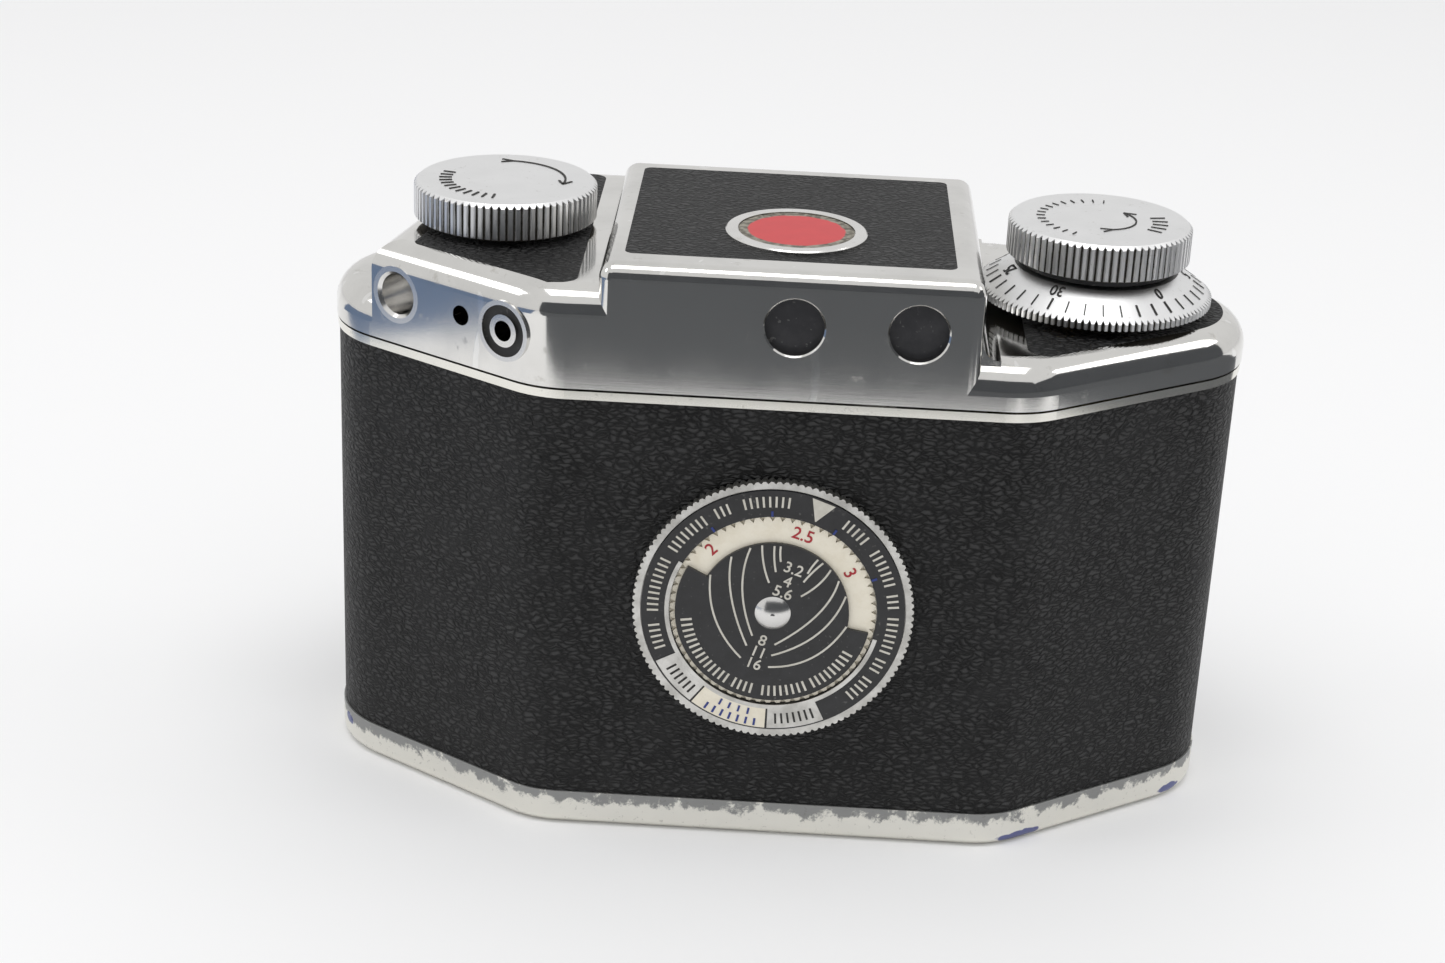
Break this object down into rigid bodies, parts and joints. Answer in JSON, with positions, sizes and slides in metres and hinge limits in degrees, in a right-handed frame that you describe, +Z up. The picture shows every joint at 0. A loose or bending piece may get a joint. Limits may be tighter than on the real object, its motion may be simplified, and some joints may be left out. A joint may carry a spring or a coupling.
{
  "type": "compact 35 mm camera",
  "caption": "Compact metal 35 mm film camera with slanted ends, raised finder, two knurled knobs, leather covering and a round calculator dial on its removable back.",
  "frame": {"origin": "on the base plane, at the axis of the tripod socket", "axes": "+Z up, the lens looks along -Y, +X towards the rewind knob"},
  "size_m": [0.1076, 0.0622, 0.0723],
  "materials": {
    "bright_nickel": "polished nickel plate, lightly worn",
    "rim_alloy": "worn bare alloy",
    "black_leather": "fine pebbled leatherette",
    "satin_alloy": "satin, knurled edge",
    "steel_works": "machined",
    "brass_works": "machined",
    "die_cast": "die cast, flat black inside",
    "black_paint": "semi-gloss black",
    "cream_scale": "printed scale",
    "black_insulator": "hard rubber",
    "red_enamel": "glossy enamel",
    "optical_glass": "clear",
    "mirror_glass": "silvered"
  },
  "bodies": {
    "camera_body": {"top_housing": "bright_nickel", "rewind_deck_leather": "black_leather", "wind_deck_leather": "black_leather", "finder_leather": "black_leather", "badge_bezel": "bright_nickel", "badge_enamel": "red_enamel", "eyepieces": "optical_glass", "viewfinder_front_lens": "optical_glass", "rangefinder_windows": "optical_glass", "mirror_shelf": "black_paint", "half_mirror": "mirror_glass", "flash_ring": "bright_nickel", "flash_insulator": "black_insulator", "flash_contact": "bright_nickel", "bracket_bush": "bright_nickel", "rewind_bush": "brass_works", "wind_bush": "brass_works", "deck_plate": "die_cast", "film_box": "die_cast", "front_casting": "die_cast", "front_leather": "black_leather", "lens_board": "bright_nickel", "board_screws": "bright_nickel", "lens_mount": "brass_works"},
    "back": {"back_shell": "rim_alloy", "back_leather": "black_leather", "tripod_socket": "steel_works", "pressure_spring": "steel_works", "dial_ring": "black_paint", "dial_centre": "black_paint", "dial_rivet": "satin_alloy"},
    "pressure_plate": {"pressure_plate": "steel_works"},
    "film_reminder_dial": {"film_reminder_dial": "satin_alloy"},
    "distance_disc": {"distance_disc": "cream_scale"},
    "lock_disc": {"lock_disc": "bright_nickel"},
    "lock_bail": {"lock_bail": "bright_nickel"},
    "rewind_sleeve": {"rewind_sleeve": "brass_works"},
    "rewind_knob": {"rewind_knob": "satin_alloy", "rewind_shaft": "steel_works"},
    "wind_drive": {"wind_sleeve": "brass_works", "friction_washer": "black_paint"},
    "wind_knob": {"wind_knob": "satin_alloy", "wind_shaft": "steel_works"},
    "counter_dial": {"counter_dial": "satin_alloy"},
    "sprocket": {"sprocket": "satin_alloy", "sprocket_gear": "brass_works"},
    "take_up_spool": {"take_up_spool": "black_paint"},
    "swing_mirror": {"swing_mirror": "mirror_glass"},
    "focus_ring": {"focus_ring": "satin_alloy"},
    "lens_carriage": {"lens_barrel": "brass_works", "shutter_case": "black_paint", "iris_leaves": "steel_works", "shutter_leaves": "steel_works", "front_cell": "satin_alloy", "front_element": "optical_glass", "inner_elements": "optical_glass"},
    "aperture_lever": {"aperture_lever": "satin_alloy"},
    "speed_ring": {"speed_ring": "satin_alloy"},
    "cocking_lever": {"cocking_lever": "satin_alloy"},
    "release_lever": {"release_lever": "satin_alloy"}
  },
  "joints": [
    {"name": "back_slide", "type": "slide", "parent": "camera_body", "child": "back", "axis": [0, 0, -1], "range_m": [0, 0.062]},
    {"name": "pressure_travel", "type": "slide", "parent": "back", "child": "pressure_plate", "axis": [0, 1, 0], "range_m": [0, 0.001], "stiffness_N_per_m": 400, "springref_m": -0.001},
    {"name": "film_reminder_turn", "type": "hinge", "parent": "back", "child": "film_reminder_dial", "pos_m": [0, 0.0242, 0.0302], "axis": [0, 1, 0], "continuous": true},
    {"name": "distance_turn", "type": "hinge", "parent": "back", "child": "distance_disc", "pos_m": [0, 0.0245, 0.0302], "axis": [0, 1, 0], "continuous": true},
    {"name": "lock_turn", "type": "hinge", "parent": "back", "child": "lock_disc", "pos_m": [0.033, 0, 0.001], "axis": [0, 0, -1], "range_deg": [0, 180]},
    {"name": "lock_bail_fold", "type": "hinge", "parent": "lock_disc", "child": "lock_bail", "pos_m": [0.033, 0, 0.00065], "axis": [0, 1, 0], "range_deg": [0, 90]},
    {"name": "rewind_lift", "type": "slide", "parent": "camera_body", "child": "rewind_sleeve", "axis": [0, 0, 1], "range_m": [0, 0.007]},
    {"name": "rewind_turn", "type": "hinge", "parent": "rewind_sleeve", "child": "rewind_knob", "pos_m": [0.0339, 0, 0.07], "axis": [0, 0, 1], "continuous": true},
    {"name": "wind_turn", "type": "hinge", "parent": "camera_body", "child": "wind_drive", "pos_m": [-0.0357, 0, 0.06], "axis": [0, 0, 1], "continuous": true},
    {"name": "wind_lift", "type": "slide", "parent": "wind_drive", "child": "wind_knob", "axis": [0, 0, 1], "range_m": [0, 0.0015]},
    {"name": "counter_turn", "type": "hinge", "parent": "camera_body", "child": "counter_dial", "pos_m": [-0.0357, 0, 0.063], "axis": [0, 0, 1], "continuous": true},
    {"name": "sprocket_turn", "type": "hinge", "parent": "camera_body", "child": "sprocket", "pos_m": [-0.0269, 0.0122, 0.0295], "axis": [0, 0, 1], "continuous": true},
    {"name": "spool_turn", "type": "hinge", "parent": "camera_body", "child": "take_up_spool", "pos_m": [-0.0357, 0, 0.03], "axis": [0, 0, 1], "continuous": true},
    {"name": "focus_turn", "type": "hinge", "parent": "camera_body", "child": "focus_ring", "pos_m": [0, -0.03, 0.0295], "axis": [0, -1, 0], "range_deg": [0, 110]},
    {"name": "lens_travel", "type": "slide", "parent": "camera_body", "child": "lens_carriage", "axis": [0, -1, 0], "range_m": [0, 0.0034]},
    {"name": "mirror_swing", "type": "hinge", "parent": "camera_body", "child": "swing_mirror", "pos_m": [0.0155, -0.004, 0.064], "axis": [0, 0, 1], "range_deg": [0, 3]},
    {"name": "aperture_turn", "type": "hinge", "parent": "lens_carriage", "child": "aperture_lever", "pos_m": [0, -0.03, 0.0295], "axis": [0, -1, 0], "range_deg": [-35, 35]},
    {"name": "speed_turn", "type": "hinge", "parent": "lens_carriage", "child": "speed_ring", "pos_m": [0, -0.03, 0.0295], "axis": [0, -1, 0], "range_deg": [0, 150]},
    {"name": "cocking_swing", "type": "hinge", "parent": "lens_carriage", "child": "cocking_lever", "pos_m": [-0.01221, -0.0322, 0.03655], "axis": [0, -1, 0], "range_deg": [0, 35]},
    {"name": "release_swing", "type": "hinge", "parent": "lens_carriage", "child": "release_lever", "pos_m": [0.01155, -0.0322, 0.03759], "axis": [0, -1, 0], "range_deg": [0, 14], "stiffness_Nm_per_rad": 0.02}
  ],
  "couplings": [
    {"joint": "counter_turn", "follows": "wind_turn", "ratio": 0.027027},
    {"joint": "sprocket_turn", "follows": "wind_turn", "ratio": -1},
    {"joint": "spool_turn", "follows": "wind_turn", "ratio": 1},
    {"joint": "focus_turn", "follows": "lens_travel", "rad_per_m": 564},
    {"joint": "mirror_swing", "follows": "lens_travel", "rad_per_m": 15.3}
  ]
}
